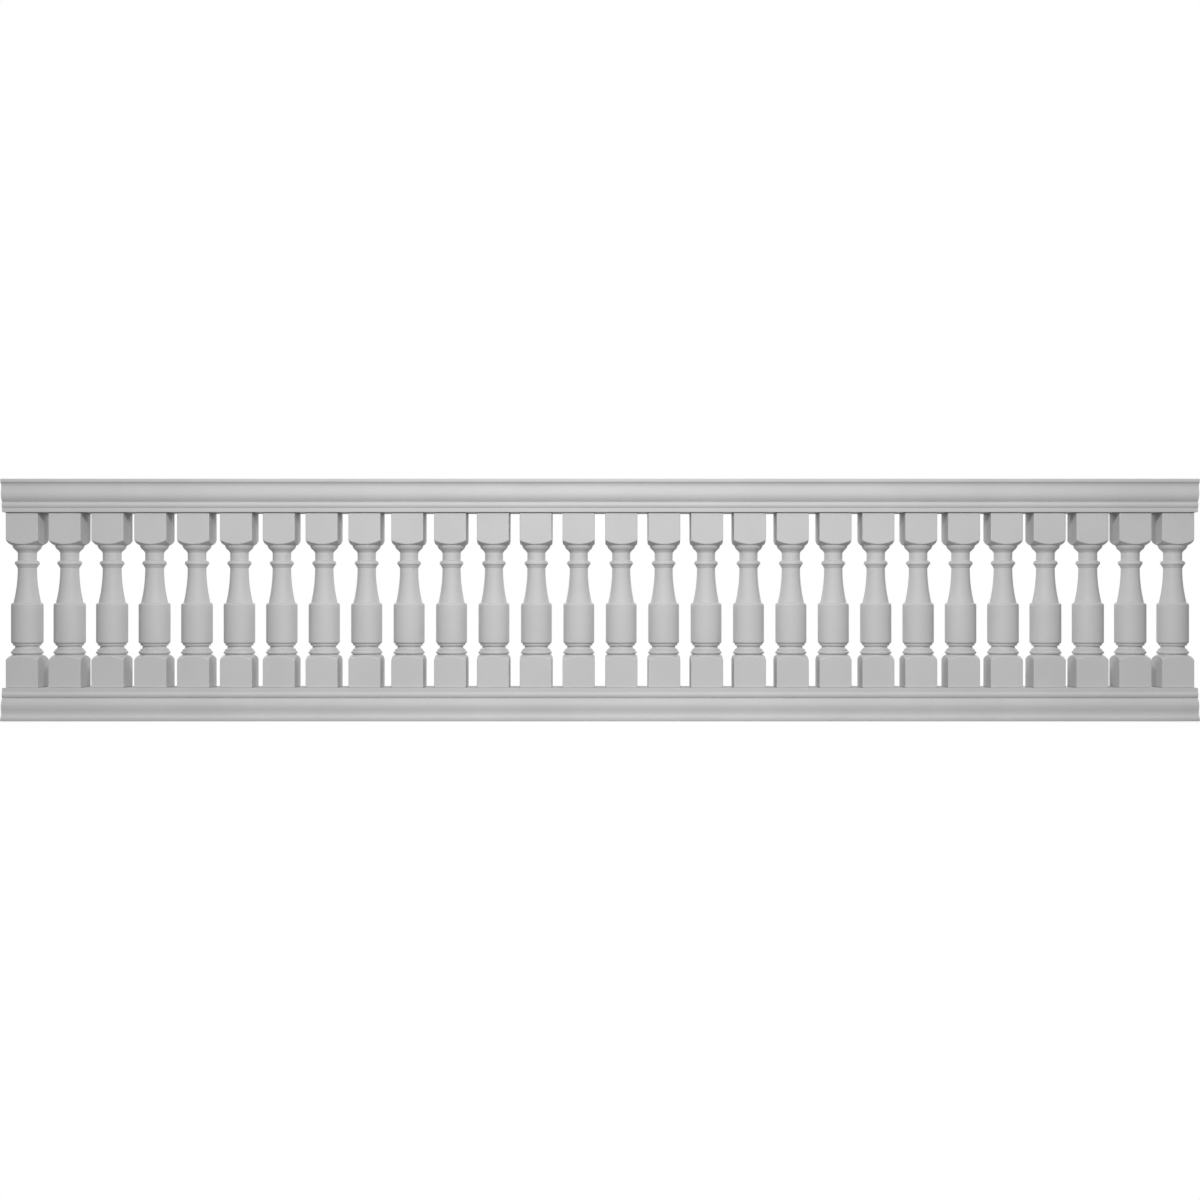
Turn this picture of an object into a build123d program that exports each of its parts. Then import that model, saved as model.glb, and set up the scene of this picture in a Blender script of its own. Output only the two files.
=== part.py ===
import os
from math import sqrt

from build123d import *

# Fiberglass balustrade: two moulded rails with a row of turned balusters between them.
# Millimetres. +X runs along the rails, +Y through their depth, +Z up.
# The origin lies under the middle of the run, on the bottom rail's underside.

# The run
baluster_count = 28
baluster_pitch = 173.5
end_margin = 10.0

# Baluster: square blocks with arched shoulders at both ends
baluster_height = 711.0
block_side = 130.0
block_height = 129.5
shoulder_rise = 16.5
block_arris_radius = 3.0

# Baluster: base mouldings, from the bottom block up to the waist
base_quirk_diameter = 110.0
base_quirk_height = 5.5
base_bead_diameter = 126.5
base_bead_height = 13.5
base_fillet_diameter = 113.0
base_fillet_height = 5.0
base_cove_height = 10.5
waist_diameter = 92.0
waist_height = 2.0
waist_ovolo_middle_diameter = 107.0
waist_ovolo_diameter = 114.0
waist_ovolo_height = 11.5

# Baluster: belly and shaft
heel_diameter = 117.0
heel_height = 11.0
belly_diameter = 126.0
belly_height = 145.5
belly_shoulder_height = 10.0
shaft_foot_diameter = 107.0
neck_diameter = 74.0
neck_height = 31.5

# Baluster: collar and crown mouldings, from the shaft up to the top block
cup_diameter = 92.0
cup_height = 15.5
collar_foot_diameter = 94.0
collar_diameter = 96.0
collar_height = 15.5
crown_cavetto_middle_diameter = 82.5
crown_cavetto_diameter = 96.0
crown_cavetto_height = 13.0
crown_ovolo_middle_diameter = 110.0
crown_ovolo_diameter = 115.0
crown_ovolo_height = 20.5

# Core tube through each baluster
tube_diameter = 38.0
tube_wall = 2.5
tube_projection = 42.0
tube_clearance = 0.25

# Rail section, from the seat of the balusters out to the wide face; depths are full depths
rail_wall = 6.0
seat_depth = 153.0
seat_fillet_height = 17.0
rail_bead_depth = 164.0
rail_bead_height = 24.5
rail_neck_depth = 149.0
rail_ovolo_depth = 180.0
rail_ovolo_height = 30.5
rail_cyma_height = 30.0
rail_cove_depth = 172.0
rail_cove_height = 19.0
rail_fillet_depth = 194.0
rail_fillet_height = 12.5
rail_arris_radius = 4.0

# Small allowance by which a cut passes the faces that it opens
overrun = 1.0

# Levels in one baluster, above its own foot
base_quirk_top = block_height + base_quirk_height
base_bead_top = base_quirk_top + base_bead_height
base_fillet_top = base_bead_top + base_fillet_height
base_cove_top = base_fillet_top + base_cove_height
waist_top = base_cove_top + waist_height
waist_ovolo_top = waist_top + waist_ovolo_height
heel_top = waist_ovolo_top + heel_height
belly_top = heel_top + belly_height
shaft_foot = belly_top + belly_shoulder_height
crown_top = baluster_height - block_height
crown_ovolo_foot = crown_top - crown_ovolo_height
neck_top = crown_ovolo_foot - crown_cavetto_height
collar_top = neck_top - neck_height
collar_foot = collar_top - collar_height
shaft_top = collar_foot - cup_height

# Radii of the turning
block_half = block_side / 2
face_arc_radius = (block_half**2 / shoulder_rise + shoulder_rise) / 2
shoulder_radius = sqrt(face_arc_radius**2 + block_half**2)
corner_reach = sqrt(2) * block_half + overrun
base_quirk_radius = base_quirk_diameter / 2
base_bead_radius = base_bead_diameter / 2
base_fillet_radius = base_fillet_diameter / 2
waist_radius = waist_diameter / 2
waist_ovolo_middle_radius = waist_ovolo_middle_diameter / 2
waist_ovolo_radius = waist_ovolo_diameter / 2
heel_radius = heel_diameter / 2
belly_radius = belly_diameter / 2
shaft_foot_radius = shaft_foot_diameter / 2
neck_radius = neck_diameter / 2
cup_radius = cup_diameter / 2
collar_foot_radius = collar_foot_diameter / 2
collar_radius = collar_diameter / 2
crown_cavetto_middle_radius = crown_cavetto_middle_diameter / 2
crown_cavetto_radius = crown_cavetto_diameter / 2
crown_ovolo_middle_radius = crown_ovolo_middle_diameter / 2
crown_ovolo_radius = crown_ovolo_diameter / 2
tube_radius = tube_diameter / 2
tube_hole_radius = tube_radius + tube_clearance


def shoulder_height(radius):
    """Height of a block's domed shoulder at a radius, above the middle of its arched edge."""
    return sqrt(shoulder_radius**2 - radius**2) - face_arc_radius


base_shoulder_top = block_height + shoulder_height(base_quirk_radius)
base_shoulder_foot = block_height + shoulder_height(corner_reach)
crown_shoulder_foot = crown_top - shoulder_height(crown_ovolo_radius)
crown_shoulder_top = crown_top - shoulder_height(corner_reach)

# Levels in one rail, above its seat
seat_fillet_top = seat_fillet_height
rail_bead_top = seat_fillet_top + rail_bead_height
rail_ovolo_top = rail_bead_top + rail_ovolo_height
rail_cyma_top = rail_ovolo_top + rail_cyma_height
rail_cove_top = rail_cyma_top + rail_cove_height
rail_height = rail_cove_top + rail_fillet_height

# Places in the assembled run
rail_length = (baluster_count - 1) * baluster_pitch + block_side + 2 * end_margin
top_seat_level = rail_height + baluster_height
tube_length = baluster_height + 2 * tube_projection

os.makedirs("parts", exist_ok=True)


def save(piece, name):
    """Label a finished piece and write it under its own name."""
    piece.label = name
    export_step(piece, f"parts/{name}.step")


def rail_section(seat_plane):
    """The hollow moulded section, standing on a plane whose origin is the middle of the seat."""
    with BuildSketch(seat_plane) as section:
        with BuildLine():
            Polyline((0, 0), (seat_depth / 2, 0), (seat_depth / 2, seat_fillet_top))
            ThreePointArc(
                (seat_depth / 2, seat_fillet_top),
                (rail_bead_depth / 2, (seat_fillet_top + rail_bead_top) / 2),
                (rail_neck_depth / 2, rail_bead_top),
            )
            TangentArc(
                (rail_ovolo_depth / 2, rail_ovolo_top),
                (rail_neck_depth / 2, rail_bead_top),
                tangent=(0, -1),
            )
            cyma_middle = (
                (rail_ovolo_depth + rail_cove_depth) / 4,
                (rail_ovolo_top + rail_cyma_top) / 2,
            )
            TangentArc((rail_ovolo_depth / 2, rail_ovolo_top), cyma_middle, tangent=(0, 1))
            TangentArc((rail_cove_depth / 2, rail_cyma_top), cyma_middle, tangent=(0, -1))
            TangentArc(
                (rail_cove_depth / 2, rail_cyma_top),
                (rail_fillet_depth / 2, rail_cove_top),
                tangent=(0, 1),
            )
            Line(
                (rail_fillet_depth / 2, rail_cove_top),
                (rail_fillet_depth / 2, rail_height - rail_arris_radius),
            )
            TangentArc(
                (rail_fillet_depth / 2, rail_height - rail_arris_radius),
                (rail_fillet_depth / 2 - rail_arris_radius, rail_height),
                tangent=(0, 1),
            )
            Line((rail_fillet_depth / 2 - rail_arris_radius, rail_height), (0, rail_height))
            mirror(about=Plane.YZ)
        make_face()
        with BuildLine():
            Polyline(
                (0, rail_wall),
                (seat_depth / 2 - rail_wall, rail_wall),
                (seat_depth / 2 - rail_wall, seat_fillet_top),
                (rail_neck_depth / 2 - rail_wall, rail_bead_top),
                (rail_cove_depth / 2 - rail_wall, rail_ovolo_top),
                (rail_cove_depth / 2 - rail_wall, rail_cove_top),
                (rail_fillet_depth / 2 - rail_wall, rail_height - rail_wall),
                (0, rail_height - rail_wall),
            )
            mirror(about=Plane.YZ)
        make_face(mode=Mode.SUBTRACT)
    return section.sketch


# Turned baluster, standing on its foot at the origin
with BuildPart() as baluster:
    with BuildSketch(Plane.XZ):
        with BuildLine():
            Polyline((0, 0), (corner_reach, 0), (corner_reach, base_shoulder_foot))
            ThreePointArc(
                (corner_reach, base_shoulder_foot),
                (block_half, block_height),
                (base_quirk_radius, base_shoulder_top),
            )
            Line((base_quirk_radius, base_shoulder_top), (base_quirk_radius, base_quirk_top))
            ThreePointArc(
                (base_quirk_radius, base_quirk_top),
                (base_bead_radius, (base_quirk_top + base_bead_top) / 2),
                (base_fillet_radius, base_bead_top),
            )
            Line((base_fillet_radius, base_bead_top), (base_fillet_radius, base_fillet_top))
            TangentArc(
                (waist_radius, base_cove_top), (base_fillet_radius, base_fillet_top), tangent=(0, -1)
            )
            Line((waist_radius, base_cove_top), (waist_radius, waist_top))
            ThreePointArc(
                (waist_radius, waist_top),
                (waist_ovolo_middle_radius, (waist_top + waist_ovolo_top) / 2),
                (waist_ovolo_radius, waist_ovolo_top),
            )
            Line((waist_ovolo_radius, waist_ovolo_top), (heel_radius, waist_ovolo_top))
            TangentArc((belly_radius, heel_top), (heel_radius, waist_ovolo_top), tangent=(0, -1))
            Line((belly_radius, heel_top), (belly_radius, belly_top))
            TangentArc((belly_radius, belly_top), (shaft_foot_radius, shaft_foot), tangent=(0, 1))
            TangentArc((neck_radius, shaft_top), (shaft_foot_radius, shaft_foot), tangent=(0, -1))
            Polyline(
                (neck_radius, shaft_top), (cup_radius, collar_foot), (collar_foot_radius, collar_foot)
            )
            ThreePointArc(
                (collar_foot_radius, collar_foot),
                (collar_radius, (collar_foot + collar_top) / 2),
                (neck_radius, collar_top),
            )
            Line((neck_radius, collar_top), (neck_radius, neck_top))
            ThreePointArc(
                (neck_radius, neck_top),
                (crown_cavetto_middle_radius, (neck_top + crown_ovolo_foot) / 2),
                (crown_cavetto_radius, crown_ovolo_foot),
            )
            ThreePointArc(
                (crown_cavetto_radius, crown_ovolo_foot),
                (crown_ovolo_middle_radius, (crown_ovolo_foot + crown_shoulder_foot) / 2),
                (crown_ovolo_radius, crown_shoulder_foot),
            )
            ThreePointArc(
                (crown_ovolo_radius, crown_shoulder_foot),
                (block_half, crown_top),
                (corner_reach, crown_shoulder_top),
            )
            Polyline(
                (corner_reach, crown_shoulder_top),
                (corner_reach, baluster_height),
                (0, baluster_height),
                (0, 0),
            )
        make_face()
    revolve(axis=Axis.Z)
    with BuildSketch():
        RectangleRounded(block_side, block_side, block_arris_radius)
    extrude(amount=baluster_height, mode=Mode.INTERSECT)
    with Locations((0, 0, baluster_height)):
        Hole(radius=tube_hole_radius)

with GridLocations(baluster_pitch, baluster_pitch, baluster_count, 1) as baluster_places:
    for number, place in enumerate(baluster_places.locations, start=1):
        standing = Location((place.position.X, 0, rail_height))
        save(baluster.part.moved(standing), f"baluster_{number:02d}")

# Core tubes, one through each baluster and into both rails
with BuildPart() as core_tubes:
    with BuildSketch(Plane.XY.offset(rail_height - tube_projection)):
        with GridLocations(baluster_pitch, baluster_pitch, baluster_count, 1):
            Circle(tube_radius)
            Circle(tube_radius - tube_wall, mode=Mode.SUBTRACT)
    extrude(amount=tube_length)
save(core_tubes.part, "core_tubes")

# Bottom rail, seat up, with a hole for each tube through the seat wall
bottom_seat = Plane(origin=(-rail_length / 2, 0, rail_height), x_dir=(0, -1, 0), z_dir=(1, 0, 0))
with BuildPart() as bottom_rail:
    extrude(rail_section(bottom_seat), amount=rail_length, dir=(1, 0, 0))
    with BuildSketch(Plane.XY.offset(rail_height - rail_wall - overrun)):
        with GridLocations(baluster_pitch, baluster_pitch, baluster_count, 1):
            Circle(tube_hole_radius)
    extrude(amount=rail_wall + 2 * overrun, mode=Mode.SUBTRACT)
save(bottom_rail.part, "bottom_rail")

# Top rail, the same moulding turned seat down
top_seat = Plane(origin=(-rail_length / 2, 0, top_seat_level), x_dir=(0, 1, 0), z_dir=(1, 0, 0))
with BuildPart() as top_rail:
    extrude(rail_section(top_seat), amount=rail_length, dir=(1, 0, 0))
    with BuildSketch(Plane.XY.offset(top_seat_level - overrun)):
        with GridLocations(baluster_pitch, baluster_pitch, baluster_count, 1):
            Circle(tube_hole_radius)
    extrude(amount=rail_wall + 2 * overrun, mode=Mode.SUBTRACT)
save(top_rail.part, "top_rail")
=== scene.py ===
from math import acos, atan2, ceil, cos, hypot, pi, radians, sqrt

import bmesh
import bpy
import numpy as np
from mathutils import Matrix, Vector


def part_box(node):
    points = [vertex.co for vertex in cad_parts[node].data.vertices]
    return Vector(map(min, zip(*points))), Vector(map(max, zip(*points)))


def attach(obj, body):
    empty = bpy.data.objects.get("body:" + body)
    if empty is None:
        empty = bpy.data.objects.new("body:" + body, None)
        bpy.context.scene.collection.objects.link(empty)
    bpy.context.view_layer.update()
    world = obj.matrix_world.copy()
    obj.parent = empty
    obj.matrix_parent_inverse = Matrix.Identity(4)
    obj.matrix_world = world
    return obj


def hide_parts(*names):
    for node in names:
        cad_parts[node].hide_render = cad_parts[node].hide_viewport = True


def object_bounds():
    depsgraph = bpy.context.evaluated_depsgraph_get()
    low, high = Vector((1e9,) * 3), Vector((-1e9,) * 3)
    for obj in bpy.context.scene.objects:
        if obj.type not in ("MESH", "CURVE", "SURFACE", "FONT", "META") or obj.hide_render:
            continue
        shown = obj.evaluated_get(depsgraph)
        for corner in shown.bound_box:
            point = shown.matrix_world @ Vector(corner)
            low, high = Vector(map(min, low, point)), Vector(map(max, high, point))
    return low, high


# Looks of the fiberglass balustrade: turned balusters between two hollow moulded rails.
# Metres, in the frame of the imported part: +X along the rails, +Y away from the viewer, +Z up.

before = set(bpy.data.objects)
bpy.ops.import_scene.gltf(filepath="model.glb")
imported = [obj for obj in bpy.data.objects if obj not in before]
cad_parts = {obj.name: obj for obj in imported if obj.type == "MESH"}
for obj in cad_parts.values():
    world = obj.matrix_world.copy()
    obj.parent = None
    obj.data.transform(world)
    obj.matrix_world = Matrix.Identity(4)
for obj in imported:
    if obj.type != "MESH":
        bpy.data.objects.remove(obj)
cad_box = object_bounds()

BODY = "root"

UP = Vector((0, 0, 1))
ALONG = Vector((1, 0, 0))
THROUGH = Vector((0, 1, 0))

# Places and main sizes, read from the frame
BALUSTER_NODES = sorted(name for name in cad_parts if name.startswith("baluster_"))
BALUSTER_BOXES = [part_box(name) for name in BALUSTER_NODES]
BALUSTER_FEET = [
    Vector(((low.x + high.x) / 2, (low.y + high.y) / 2, low.z)) for low, high in BALUSTER_BOXES
]
BALUSTER_PITCH = BALUSTER_FEET[1].x - BALUSTER_FEET[0].x
BALUSTER_HEIGHT = BALUSTER_BOXES[0][1].z - BALUSTER_BOXES[0][0].z
BLOCK_HALF = (BALUSTER_BOXES[0][1].x - BALUSTER_BOXES[0][0].x) / 2
RAIL_LOW, RAIL_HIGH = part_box("top_rail")
RAIL_LENGTH = RAIL_HIGH.x - RAIL_LOW.x
RAIL_HEIGHT = RAIL_HIGH.z - RAIL_LOW.z
RAIL_HALF = (RAIL_HIGH.y - RAIL_LOW.y) / 2
OBJECT_MIDDLE = (cad_box[0] + cad_box[1]) / 2

# Fineness of round stretches
ARC_SAG = 0.00006
TURN_STEPS = 64
TUBE_HOLE_SIDES = 48
EDGE_STEPS = 4
SMOOTH_ANGLE = radians(28)
SNAP = 0.00001
SQUARE_ON = 0.9

# Baluster: blocks with arched shoulders, and the bore of the core tube
BLOCK_HEIGHT = 0.1295
SHOULDER_RISE = 0.0165
BLOCK_ARRIS = 0.003
BORE_RADIUS = 0.01925
FACE_ARC = (BLOCK_HALF**2 / SHOULDER_RISE + SHOULDER_RISE) / 2
SHOULDER_RADIUS = hypot(FACE_ARC, BLOCK_HALF)
SAWING_ALLOWANCE = 0.001
CORNER_REACH = sqrt(2) * BLOCK_HALF + SAWING_ALLOWANCE
SHOULDER_RING_STEP = 6
SHOULDER_RING = BLOCK_HALF / cos(SHOULDER_RING_STEP * 2 * pi / TURN_STEPS)

# Baluster: radii of the turning, from the bottom block up
QUIRK, BEAD, FILLET, COVE_MIDDLE = 0.055, 0.06325, 0.0572, 0.0507
WAIST, RING, HEEL, BELLY, SHAFT_FOOT, NECK = 0.0472, 0.0555, 0.0582, 0.063, 0.0535, 0.037
CUP, COLLAR_FOOT, COLLAR = 0.0453, 0.0476, 0.048
CAVETTO_MIDDLE, CAVETTO, OVOLO_MIDDLE, OVOLO = 0.04125, 0.048, 0.055, 0.0575

# Baluster: levels of the turning, up from the bottom block and down from the top block
QUIRK_TOP = BLOCK_HEIGHT + 0.0055
BEAD_TOP = QUIRK_TOP + 0.0135
FILLET_TOP = BEAD_TOP + 0.005
COVE_TOP = FILLET_TOP + 0.009
WAIST_TOP = COVE_TOP + 0.005
RING_FOOT = WAIST_TOP + 0.0032
RING_TOP = RING_FOOT + 0.0073
HEEL_TOP = RING_TOP + 0.009
BELLY_TOP = HEEL_TOP + 0.147
SHAFT_FOOT_LEVEL = BELLY_TOP + 0.010
CROWN_TOP = BALUSTER_HEIGHT - BLOCK_HEIGHT
OVOLO_FOOT = CROWN_TOP - 0.0205
NECK_TOP = OVOLO_FOOT - 0.013
COLLAR_TOP = NECK_TOP - 0.0315
COLLAR_FOOT_LEVEL = COLLAR_TOP - 0.016
SHAFT_TOP = COLLAR_FOOT_LEVEL - 0.015

# Rail section: half depths, and levels above the seat of the balusters
SEAT, RAIL_BEAD, RAIL_NECK = 0.0765, 0.082, 0.0745
RAIL_OVOLO, RAIL_COVE = 0.090, 0.086
SEAT_TOP = 0.017
RAIL_BEAD_TOP = SEAT_TOP + 0.0245
RAIL_OVOLO_TOP = RAIL_BEAD_TOP + 0.0305
RAIL_CYMA_TOP = RAIL_OVOLO_TOP + 0.030
RAIL_COVE_TOP = RAIL_CYMA_TOP + 0.019
RAIL_WALL = 0.006
RAW_MARGIN = RAIL_WALL / 3
PEG_LENGTH = 3 * RAIL_WALL
RAIL_ARRIS = 0.004
SEAT_ARRIS = 0.0015

# The hollow inside the rail: half depth at each level above the seat
HOLLOW = (
    (SEAT - RAIL_WALL, RAIL_WALL),
    (SEAT - RAIL_WALL, SEAT_TOP),
    (RAIL_NECK - RAIL_WALL, RAIL_BEAD_TOP),
    (RAIL_COVE - RAIL_WALL, RAIL_OVOLO_TOP),
    (RAIL_COVE - RAIL_WALL, RAIL_COVE_TOP),
    (RAIL_HALF - RAIL_WALL, RAIL_HEIGHT - RAIL_WALL),
)


# Shader maths

class Signal:
    """A shader value; sums and products with it add their Math nodes."""

    def __init__(self, web, socket):
        self.web = web
        self.socket = socket

    def math(self, operation, first, second):
        return self.web.add("ShaderNodeMath", {"operation": operation}, {0: first, 1: second})

    def __add__(self, other):
        return self.math("ADD", self, other)

    def __rsub__(self, other):
        return self.math("SUBTRACT", other, self)

    def __mul__(self, other):
        return self.math("MULTIPLY", self, other)

    __radd__ = __add__
    __rmul__ = __mul__


class Web:
    """The node tree of one finish."""

    def __init__(self, tree):
        self.tree = tree
        tree.nodes.clear()

    def add(self, kind, settings=None, sockets=None, out=0):
        """A node with its settings, then its sockets' values or links; gives one of its outputs."""
        node = self.tree.nodes.new(kind)
        for name, value in (settings or {}).items():
            setattr(node, name, value)
        for key, value in (sockets or {}).items():
            if isinstance(value, Signal):
                self.tree.links.new(value.socket, node.inputs[key])
            else:
                node.inputs[key].default_value = value
        return Signal(self, node.outputs[out]) if node.outputs else None

    def noise(self, place, scale, detail=2.0):
        sockets = {"Vector": place, "Scale": scale, "Detail": detail}
        return self.add("ShaderNodeTexNoise", None, sockets)

    def cells(self, place, scale):
        """Distance to the nearest border of a net of cells."""
        settings = {"feature": "DISTANCE_TO_EDGE"}
        return self.add("ShaderNodeTexVoronoi", settings, {"Vector": place, "Scale": scale})

    def stretch(self, place, scale):
        return self.add("ShaderNodeMapping", None, {"Vector": place, "Scale": scale})

    def band(self, value, low, high):
        """0 below low, 1 above high, smooth between."""
        settings = {"interpolation_type": "SMOOTHSTEP"}
        return self.add("ShaderNodeMapRange", settings, {"Value": value, 1: low, 2: high})

    def blend(self, factor, first, second):
        """One colour giving way to another."""
        return self.add("ShaderNodeMix", {"data_type": "RGBA"}, {0: factor, 6: first, 7: second}, out=2)

    def bump(self, height, depth, over=None):
        sockets = {"Height": height, "Distance": depth}
        if over:
            sockets["Normal"] = over
        return self.add("ShaderNodeBump", None, sockets)


def grey(level, warmth=0.0):
    """A grey of one brightness, a little warmer or cooler."""
    return (level * (1 + warmth), level, level * (1 - warmth), 1)


def new_finish(name):
    """A material with nothing in its tree yet."""
    finish = bpy.data.materials.new(name)
    finish.use_nodes = True
    return finish, Web(finish.node_tree)


def show(web, shader):
    web.add("ShaderNodeOutputMaterial", None, {"Surface": shader})


def fiberglass_skin():
    """Satin gelcoat: light grey with faint clouding, orange peel and print of the glass mat below."""
    finish, web = new_finish("fiberglass_skin")
    place = web.add("ShaderNodeTexCoord", out="Object")
    clouds = web.noise(place, scale=5.0, detail=4.0)
    flecks = web.noise(place, scale=160.0, detail=3.0)
    strands = web.cells(place, scale=70.0)
    peel = web.noise(place, scale=520.0)
    tone = web.band(clouds * 0.8 + flecks * 0.2, low=0.32, high=0.68)
    upward = web.add(
        "ShaderNodeSeparateXYZ", None, {0: web.add("ShaderNodeNewGeometry", out="Normal")}, out=2
    )
    patches = web.noise(place, scale=14.0, detail=5.0)
    dust = web.band(upward, low=0.6, high=1.0) * web.band(patches, low=0.4, high=0.7)
    clean = web.blend(tone, grey(0.618), grey(0.648))
    colour = web.blend(dust * 0.35, clean, grey(0.56, warmth=0.02))
    roughness = 0.46 + 0.10 * flecks + 0.06 * clouds + 0.10 * dust
    waves = web.bump(clouds, depth=0.0006)
    print_through = web.bump(web.band(strands, low=0.0, high=0.2), depth=0.000025, over=waves)
    normal = web.bump(peel, depth=0.00004, over=print_through)
    show(web, web.add("ShaderNodeBsdfPrincipled", None, {
        "Base Color": colour, "Roughness": roughness, "Normal": normal, "Specular IOR Level": 0.2,
    }))
    return finish


def raw_laminate():
    """The unpainted inside and sawn ends of the shell: resin with chopped glass strands."""
    finish, web = new_finish("raw_laminate")
    place = web.add("ShaderNodeTexCoord", out="Object")
    bent = web.add("ShaderNodeVectorMath", {"operation": "MULTIPLY_ADD"}, {
        0: web.add("ShaderNodeTexNoise", None, {"Vector": place, "Scale": 40.0}, out="Color"),
        1: (0.02, 0.02, 0.02), 2: place,
    })
    coarse = web.cells(bent, scale=60.0)
    fine = web.cells(bent, scale=145.0)
    glass = 1 - web.band(coarse, low=0.0, high=0.16) * web.band(fine, low=0.0, high=0.2)
    clouds = web.noise(place, scale=9.0, detail=4.0)
    resin = web.blend(clouds, (0.40, 0.41, 0.33, 1), (0.50, 0.50, 0.42, 1))
    colour = web.blend(glass * 0.55, resin, (0.66, 0.66, 0.60, 1))
    show(web, web.add("ShaderNodeBsdfPrincipled", None, {
        "Base Color": colour, "Roughness": 0.62 - 0.2 * glass,
        "Normal": web.bump(glass, depth=0.0004), "Specular IOR Level": 0.4,
    }))
    return finish


def tube_steel():
    """Drawn steel tube: warm grey metal with fine lengthwise lines."""
    finish, web = new_finish("tube_steel")
    place = web.add("ShaderNodeTexCoord", out="Object")
    lines = web.noise(web.stretch(place, (1, 1, 0.012)), scale=900.0, detail=3.0)
    stain = web.noise(place, scale=22.0, detail=4.0)
    clean, stained = grey(0.56, warmth=0.03), grey(0.44, warmth=0.05)
    colour = web.blend(web.band(stain, low=0.35, high=0.7), clean, stained)
    show(web, web.add("ShaderNodeBsdfPrincipled", None, {
        "Base Color": colour, "Metallic": 0.9 - 0.15 * web.band(stain, low=0.5, high=0.75),
        "Roughness": 0.34 + 0.18 * lines + 0.1 * stain, "Normal": web.bump(lines, depth=0.00003),
    }))
    return finish


# Modelling by hand

def swing(first, second):
    """Signed angle from one flat vector to another."""
    return atan2(first.cross(second), first.dot(second))


class Pen:
    """Draws an outline in an upright plane, by extruding and spinning its last point."""

    def __init__(self, name, across, origin, reach, height):
        self.across = across
        self.origin = origin
        self.point = Vector((reach, height))
        bpy.ops.object.select_all(action="DESELECT")
        bpy.ops.mesh.primitive_plane_add(location=(0, 0, 0))
        bpy.context.object.name = name
        bpy.ops.object.mode_set(mode="EDIT")
        bpy.ops.mesh.select_mode(type="VERT")
        bpy.ops.mesh.merge(type="CENTER")
        bpy.ops.transform.translate(value=origin + self.step(self.point))

    def step(self, flat):
        return self.across * flat.x + UP * flat.y

    def line(self, *points):
        """Straight runs through points of reach and height."""
        for point in points:
            end = Vector(point)
            bpy.ops.mesh.extrude_verts_indiv()
            bpy.ops.transform.translate(value=self.step(end - self.point))
            self.point = end

    def turn(self, centre, angle, end):
        radius = (self.point - centre).length
        bpy.ops.mesh.spin(
            steps=ceil(abs(angle) / (2 * acos(1 - ARC_SAG / radius))),
            angle=-angle,
            center=self.origin + self.step(centre),
            axis=self.across.cross(UP),
        )
        self.point = end

    def arc_through(self, middle, end):
        """An arc through a middle point."""
        a, b, c = self.point, Vector(middle), Vector(end)
        double_area = 2 * (a.x * (b.y - c.y) + b.x * (c.y - a.y) + c.x * (a.y - b.y))
        centre = Vector((
            (a.dot(a) * (b.y - c.y) + b.dot(b) * (c.y - a.y) + c.dot(c) * (a.y - b.y)) / double_area,
            (a.dot(a) * (c.x - b.x) + b.dot(b) * (a.x - c.x) + c.dot(c) * (b.x - a.x)) / double_area,
        ))
        self.turn(centre, swing(a - centre, b - centre) + swing(b - centre, c - centre), c)

    def arc_upright(self, end, upright):
        """An arc to a point, upright at one of its two ends."""
        start, end = self.point, Vector(end)
        other = end if upright == start else start
        away = other - upright
        centre = Vector((upright.x + away.dot(away) / (2 * away.x), upright.y))
        self.turn(centre, swing(start - centre, end - centre), end)

    def arc_from_upright(self, end):
        self.arc_upright(end, self.point)

    def arc_to_upright(self, end):
        self.arc_upright(end, Vector(end))


def close_up():
    """Merge the doubled points of the piece in hand and turn its faces outwards."""
    bpy.ops.mesh.select_all(action="SELECT")
    bpy.ops.mesh.remove_doubles(threshold=SNAP)
    bpy.ops.mesh.normals_make_consistent(inside=False)


def choose(kind, wanted):
    """Select only the edges or faces of the piece in hand that pass a test."""
    bpy.ops.mesh.select_mode(type=kind)
    bpy.ops.mesh.select_all(action="DESELECT")
    data = bpy.context.object.data
    mesh = bmesh.from_edit_mesh(data)
    for part in mesh.edges if kind == "EDGE" else mesh.faces:
        if wanted(part):
            part.select_set(True)
    mesh.select_flush_mode()
    bmesh.update_edit_mesh(data)


def apply_modifier(kind, settings):
    """Add one modifier to the piece in hand and apply it."""
    modifier = bpy.context.object.modifiers.new(kind.lower(), kind)
    for name, value in settings.items():
        setattr(modifier, name, value)
    bpy.ops.object.modifier_apply(modifier=modifier.name)


def smooth():
    """Round surfaces shade round, and creases stay crisp."""
    bpy.ops.object.shade_smooth_by_angle(angle=SMOOTH_ANGLE)
    apply_modifier("WEIGHTED_NORMAL", {"keep_sharp": True})


def take(piece):
    """Make one piece the only selected one."""
    bpy.ops.object.select_all(action="DESELECT")
    piece.select_set(True)
    bpy.context.view_layer.objects.active = piece


def copy_of(piece):
    """A copy of a piece with its own mesh, taken in hand."""
    take(piece)
    bpy.ops.object.duplicate()
    return bpy.context.object


def put(piece, name, node, place):
    """Move a finished piece to its place in the frame, where it stands for its CAD node."""
    take(piece)
    piece.name = name
    piece.data.name = name
    bpy.ops.transform.translate(value=place)
    bpy.ops.object.transform_apply(location=True, rotation=True, scale=True)
    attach(piece, BODY)
    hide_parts(node)


def shoulder(radius):
    """Height of a block's domed shoulder at a radius, above the middle of its arched edge."""
    return sqrt(SHOULDER_RADIUS**2 - radius**2) - FACE_ARC


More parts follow.
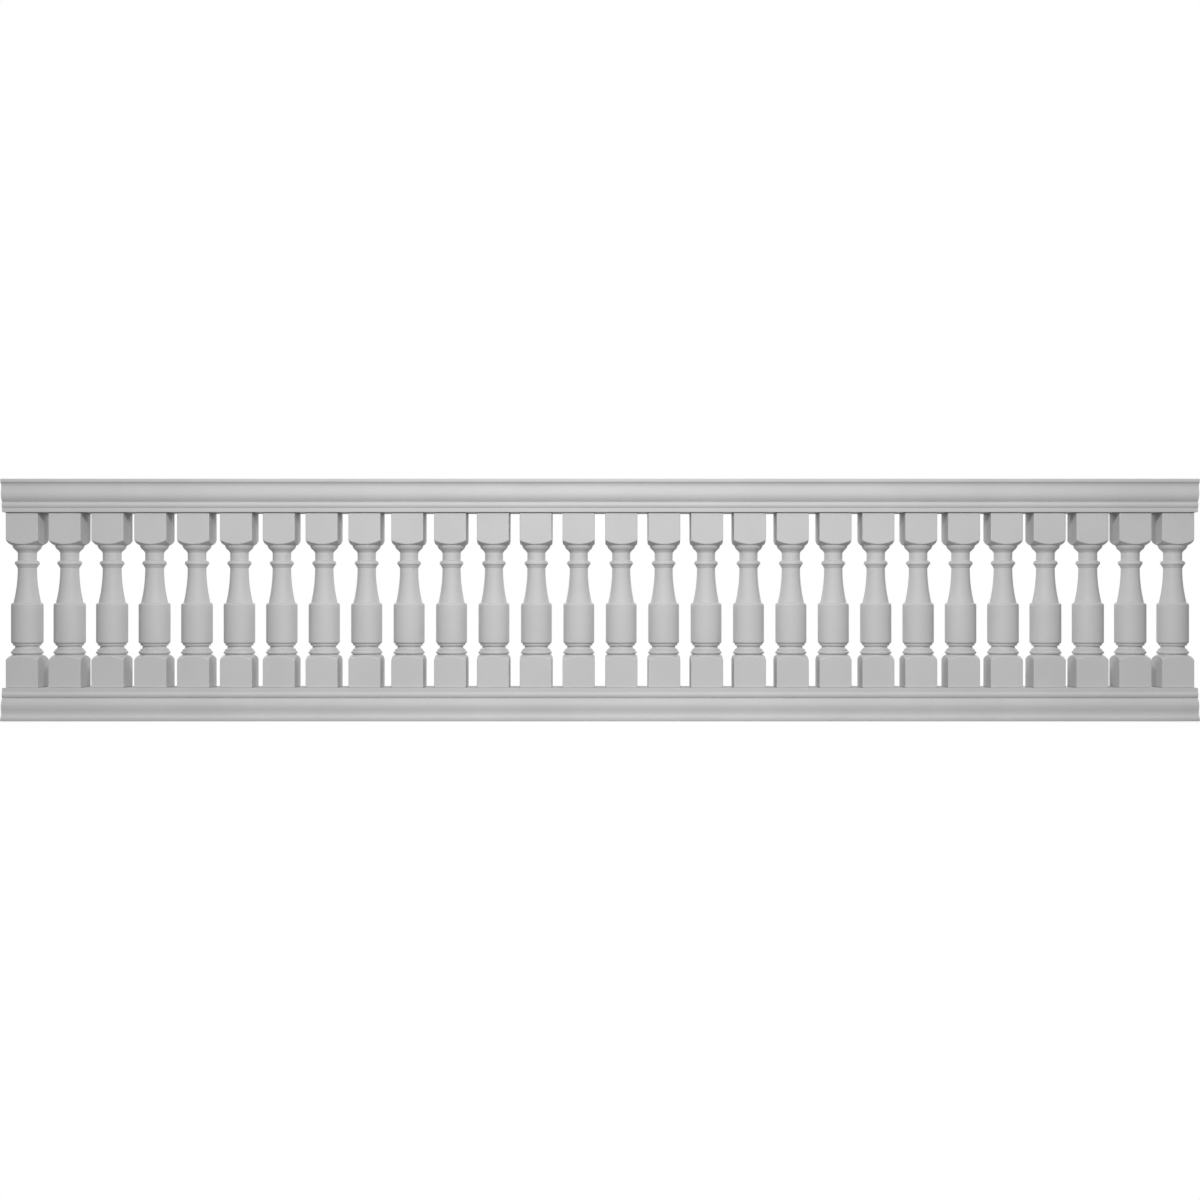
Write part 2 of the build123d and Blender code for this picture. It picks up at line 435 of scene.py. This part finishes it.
def draw_baluster():
    """The outline of the turning, from the bore at the foot up to the bore at the head."""
    pen = Pen("baluster", ALONG, Vector(), BORE_RADIUS, 0)
    pen.line((CORNER_REACH, 0))
    for radius in (CORNER_REACH, SHOULDER_RING, QUIRK):
        pen.line((radius, BLOCK_HEIGHT + shoulder(radius)))
    pen.line((QUIRK, QUIRK_TOP))
    pen.arc_through((BEAD, (QUIRK_TOP + BEAD_TOP) / 2), (FILLET, BEAD_TOP))
    pen.line((FILLET, FILLET_TOP))
    pen.arc_through((COVE_MIDDLE, (FILLET_TOP + COVE_TOP) / 2), (WAIST, COVE_TOP))
    pen.line((WAIST, WAIST_TOP), (RING, RING_FOOT), (RING, RING_TOP), (HEEL, RING_TOP))
    pen.arc_to_upright((BELLY, HEEL_TOP))
    pen.line((BELLY, BELLY_TOP))
    pen.arc_from_upright((SHAFT_FOOT, SHAFT_FOOT_LEVEL))
    pen.arc_to_upright((NECK, SHAFT_TOP))
    pen.line((CUP, COLLAR_FOOT_LEVEL), (COLLAR_FOOT, COLLAR_FOOT_LEVEL))
    pen.arc_through((COLLAR, (COLLAR_FOOT_LEVEL + COLLAR_TOP) / 2), (NECK, COLLAR_TOP))
    pen.line((NECK, NECK_TOP))
    pen.arc_through((CAVETTO_MIDDLE, (NECK_TOP + OVOLO_FOOT) / 2), (CAVETTO, OVOLO_FOOT))
    ovolo_top = CROWN_TOP - shoulder(OVOLO)
    pen.arc_through((OVOLO_MIDDLE, (OVOLO_FOOT + ovolo_top) / 2), (OVOLO, ovolo_top))
    for radius in (SHOULDER_RING, CORNER_REACH):
        pen.line((radius, CROWN_TOP - shoulder(radius)))
    pen.line((CORNER_REACH, BALUSTER_HEIGHT), (BORE_RADIUS, BALUSTER_HEIGHT), (BORE_RADIUS, 0))


def on_block_edge(edge):
    """True for the edges round the faces of the two square blocks."""
    one, two = (vertex.co for vertex in edge.verts)
    return any(
        abs(abs(one[axis]) - BLOCK_HALF) < SNAP and abs(one[axis] - two[axis]) < SNAP for axis in (0, 1)
    )


def turned_baluster(skin):
    """One baluster on its foot at the origin: turned, then sawn square at its blocks and eased."""
    draw_baluster()
    bpy.ops.mesh.select_all(action="SELECT")
    bpy.ops.mesh.spin(steps=TURN_STEPS, angle=2 * pi, center=(0, 0, 0), axis=UP)
    close_up()
    for side in (ALONG, -ALONG, THROUGH, -THROUGH):
        bpy.ops.mesh.select_all(action="SELECT")
        bpy.ops.mesh.bisect(
            plane_co=side * BLOCK_HALF, plane_no=side, use_fill=True, clear_outer=True, threshold=SNAP
        )
    close_up()
    choose("EDGE", on_block_edge)
    bpy.ops.mesh.bevel(offset=BLOCK_ARRIS, segments=EDGE_STEPS, affect="EDGES")
    bpy.ops.object.mode_set(mode="OBJECT")
    smooth()
    baluster = bpy.context.object
    baluster.data.materials.append(skin)
    return baluster


def draw_rail():
    """Half of the hollow section, seat down, at the left end of the run."""
    pen = Pen("rail", THROUGH, ALONG * -RAIL_LENGTH / 2, 0, 0)
    pen.line((SEAT - SEAT_ARRIS, 0))
    pen.arc_to_upright((SEAT, SEAT_ARRIS))
    pen.line((SEAT, SEAT_TOP))
    pen.arc_through((RAIL_BEAD, (SEAT_TOP + RAIL_BEAD_TOP) / 2), (RAIL_NECK, RAIL_BEAD_TOP))
    pen.arc_to_upright((RAIL_OVOLO, RAIL_OVOLO_TOP))
    pen.arc_from_upright(((RAIL_OVOLO + RAIL_COVE) / 2, (RAIL_OVOLO_TOP + RAIL_CYMA_TOP) / 2))
    pen.arc_to_upright((RAIL_COVE, RAIL_CYMA_TOP))
    pen.arc_from_upright((RAIL_HALF, RAIL_COVE_TOP))
    pen.line((RAIL_HALF, RAIL_HEIGHT - RAIL_ARRIS))
    pen.arc_from_upright((RAIL_HALF - RAIL_ARRIS, RAIL_HEIGHT))
    pen.line((0, RAIL_HEIGHT), (0, RAIL_HEIGHT - RAIL_WALL))
    pen.line(*reversed(HOLLOW))
    pen.line((0, RAIL_WALL), (0, 0))


def on_middle(face):
    """True for the faces where the two halves of the rail meet."""
    return abs(face.calc_center_median().y) < SNAP and abs(face.normal.y) > SQUARE_ON


def is_raw(face):
    """True for the inside of the rail, the walls of its tube holes and its sawn ends."""
    place = face.calc_center_median()
    halves, levels = zip(*HOLLOW)
    inside = abs(place.y) < np.interp(place.z, levels, halves) + RAW_MARGIN
    under_skin = RAW_MARGIN < place.z < RAIL_HEIGHT - RAW_MARGIN
    sawn = abs(face.normal.x) > SQUARE_ON and abs(place.x) > RAIL_LENGTH / 2 - SNAP
    return inside and under_skin or sawn


def tube_hole_cutter():
    """A row of pegs, one for each core tube's hole in the seat wall."""
    bpy.ops.object.select_all(action="DESELECT")
    bpy.ops.mesh.primitive_cylinder_add(
        vertices=TUBE_HOLE_SIDES, radius=BORE_RADIUS, depth=PEG_LENGTH,
        location=(BALUSTER_FEET[0].x, 0, 0),
    )
    bpy.ops.object.transform_apply(location=True)
    apply_modifier("ARRAY", {
        "count": len(BALUSTER_FEET), "use_relative_offset": False, "use_constant_offset": True,
        "constant_offset_displace": ALONG * BALUSTER_PITCH,
    })
    return bpy.context.object


def moulded_rail(skin, laminate):
    """One hollow rail, seat down on the origin's level."""
    cutter = tube_hole_cutter()
    draw_rail()
    close_up()
    bpy.ops.mesh.edge_face_add()
    bpy.ops.mesh.extrude_region_move(TRANSFORM_OT_translate={"value": ALONG * RAIL_LENGTH})
    close_up()
    choose("FACE", on_middle)
    bpy.ops.mesh.delete(type="FACE")
    bpy.ops.object.mode_set(mode="OBJECT")
    rail = bpy.context.object
    apply_modifier("MIRROR", {"use_axis": (False, True, False), "merge_threshold": SNAP})
    apply_modifier("BOOLEAN", {"operation": "DIFFERENCE", "object": cutter, "solver": "EXACT"})
    bpy.data.objects.remove(cutter)
    bpy.ops.object.mode_set(mode="EDIT")
    close_up()
    rail.data.materials.append(skin)
    rail.data.materials.append(laminate)
    choose("FACE", is_raw)
    rail.active_material_index = 1
    bpy.ops.object.material_slot_assign()
    bpy.ops.object.mode_set(mode="OBJECT")
    smooth()
    return rail


def stand_balusters(skin):
    """A turned baluster on each place of the run."""
    pattern = turned_baluster(skin)
    for node, foot in zip(BALUSTER_NODES[1:], BALUSTER_FEET[1:]):
        put(copy_of(pattern), f"turned_{node}", node, foot)
    put(pattern, f"turned_{BALUSTER_NODES[0]}", BALUSTER_NODES[0], BALUSTER_FEET[0])


def lay_rails(skin, laminate):
    """The top rail, and the same moulding turned over as the bottom rail."""
    top = moulded_rail(skin, laminate)
    bottom = copy_of(top)
    bottom.rotation_euler.x = pi
    put(bottom, "moulded_bottom_rail", "bottom_rail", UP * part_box("bottom_rail")[1].z)
    put(top, "moulded_top_rail", "top_rail", UP * RAIL_LOW.z)


# The studio

CAMERA_PLACE = Vector((0, -6.512, 0.489))
CAMERA_LENS = 47.76
CAMERA_SENSOR = 36
AMBIENT = 0.355
FLOOR_SIZE = 40
FLOOR_DROP = 0.0005
FLOOR_TONE, FLOOR_GLOW, FLOOR_BOUNCE = 0.3, 0.8, 0.2
FADE_START, FADE_END = 1.2, 3.2
FADE_SHAPE = (0.5, 1, 1)

# Lamps: name, kind, place, size and watts
LAMPS = (
    ("key_lamp", "POINT", (0, -4.1, 2.55), 0.7, 520),
    ("back_left_lamp", "AREA", (-4.5, 6, 2.4), 3.0, 130),
    ("back_right_lamp", "AREA", (4.5, 6, 2.4), 3.0, 130),
)


def add_camera():
    camera = bpy.data.objects.new("camera", bpy.data.cameras.new("camera"))
    bpy.context.scene.collection.objects.link(camera)
    camera.location = CAMERA_PLACE
    camera.rotation_euler = (radians(90), 0, 0)
    camera.data.lens = CAMERA_LENS
    camera.data.sensor_width = CAMERA_SENSOR
    bpy.context.scene.camera = camera


def add_lamp(name, kind, place, size, watts):
    """A soft lamp, aimed at the middle of the object."""
    lamp = bpy.data.objects.new(name, bpy.data.lights.new(name, kind))
    bpy.context.scene.collection.objects.link(lamp)
    lamp.location = place
    lamp.rotation_euler = (OBJECT_MIDDLE - Vector(place)).to_track_quat("-Z", "Y").to_euler()
    if kind == "AREA":
        lamp.data.size = size
    else:
        lamp.data.shadow_soft_size = size / 2
    lamp.data.energy = watts


def seen_ray(web):
    """1 on rays from the camera, and on those that metal and glass pass on."""
    seen = [
        web.add("ShaderNodeLightPath", out=f"Is {kind} Ray")
        for kind in ("Camera", "Glossy", "Transmission")
    ]
    return web.band(seen[0] + seen[1] + seen[2], low=0.0, high=1.0)


def add_world():
    """White to look at, and an even soft light on the object."""
    world = bpy.data.worlds.new("studio")
    bpy.context.scene.world = world
    world.use_nodes = True
    web = Web(world.node_tree)
    colour = web.blend(seen_ray(web), grey(AMBIENT), grey(1.0))
    background = web.add("ShaderNodeBackground", None, {"Color": colour, "Strength": 1.0})
    web.add("ShaderNodeOutputWorld", None, {"Surface": background})


def add_floor():
    """A pale floor that keeps the shadow near the object and fades to white further out."""
    bpy.ops.object.select_all(action="DESELECT")
    bpy.ops.mesh.primitive_plane_add(size=FLOOR_SIZE, location=(0, 0, 0))
    floor = bpy.context.object
    floor.name = "floor"
    bpy.ops.object.mode_set(mode="EDIT")
    bpy.ops.transform.translate(value=UP * -FLOOR_DROP)
    bpy.ops.object.mode_set(mode="OBJECT")
    finish, web = new_finish("pale_floor")
    place = web.add("ShaderNodeTexCoord", out="Object")
    offset = {0: web.stretch(place, FADE_SHAPE)}
    distance = web.add("ShaderNodeVectorMath", {"operation": "LENGTH"}, offset, out="Value")
    far = web.band(distance, FADE_START, FADE_END)
    seen = seen_ray(web)
    near_light = web.blend(seen, grey(0.0), grey(FLOOR_GLOW))
    far_light = web.blend(seen, grey(FLOOR_BOUNCE), grey(1.0))
    pale = web.add("ShaderNodeBsdfDiffuse", None, {"Color": grey(FLOOR_TONE)})
    glow = web.add("ShaderNodeEmission", None, {"Color": near_light})
    white = web.add("ShaderNodeEmission", None, {"Color": far_light})
    near_floor = web.add("ShaderNodeAddShader", None, {0: pale, 1: glow})
    show(web, web.add("ShaderNodeMixShader", None, {0: far, 1: near_floor, 2: white}))
    floor.data.materials.append(finish)


skin = fiberglass_skin()
laminate = raw_laminate()
steel = tube_steel()
stand_balusters(skin)
lay_rails(skin, laminate)
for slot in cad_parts["core_tubes"].material_slots:
    slot.material = steel

add_camera()
for lamp in LAMPS:
    add_lamp(*lamp)
add_world()
add_floor()
bpy.context.scene.view_settings.view_transform = "Standard"
